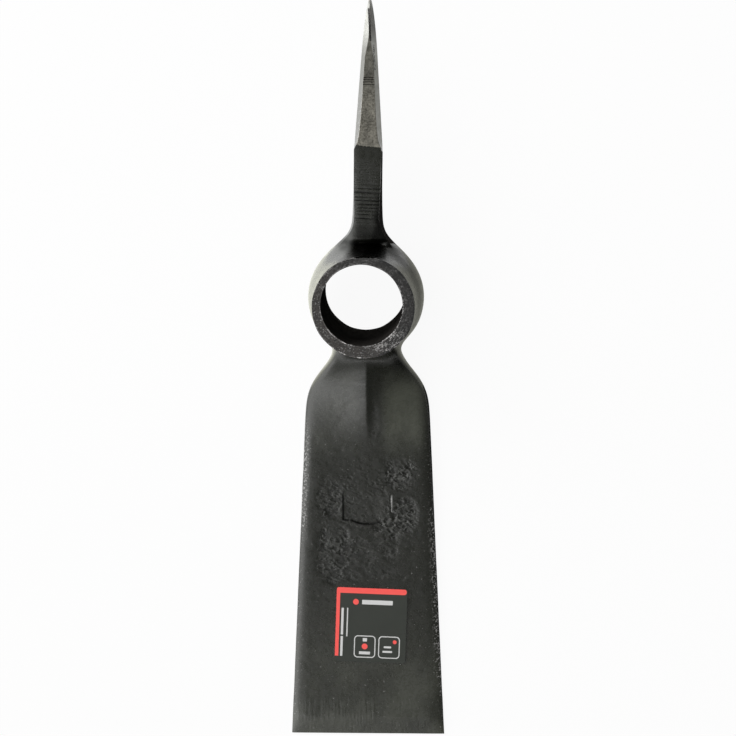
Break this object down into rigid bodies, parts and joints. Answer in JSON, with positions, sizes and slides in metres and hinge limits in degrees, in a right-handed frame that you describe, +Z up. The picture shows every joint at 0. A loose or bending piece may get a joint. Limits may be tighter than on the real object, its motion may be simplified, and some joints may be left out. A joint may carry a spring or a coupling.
{
  "type": "garden hoe head with pick",
  "caption": "Bare forged steel hoe head: flat tapering blade, round handle eye with a collar, and a pick with a ground point on the far side of the eye.",
  "frame": {"origin": "under the middle of the head's bounding box, on the plane of the blade's flat back", "axes": "+Y from the cutting edge through the eye to the pick's point, +Z up out of the eye's collar, where the handle comes out, +X to the right as seen from the collar side"},
  "size_m": [0.0798, 0.378, 0.0565],
  "materials": {
    "forged_head": "black lacquer over forging scale, with a bare ground pick point",
    "label": "satin printed film, dark with a red band"
  },
  "bodies": {
    "root": {"forged_head": "forged_head", "label": "label"}
  },
  "joints": []
}
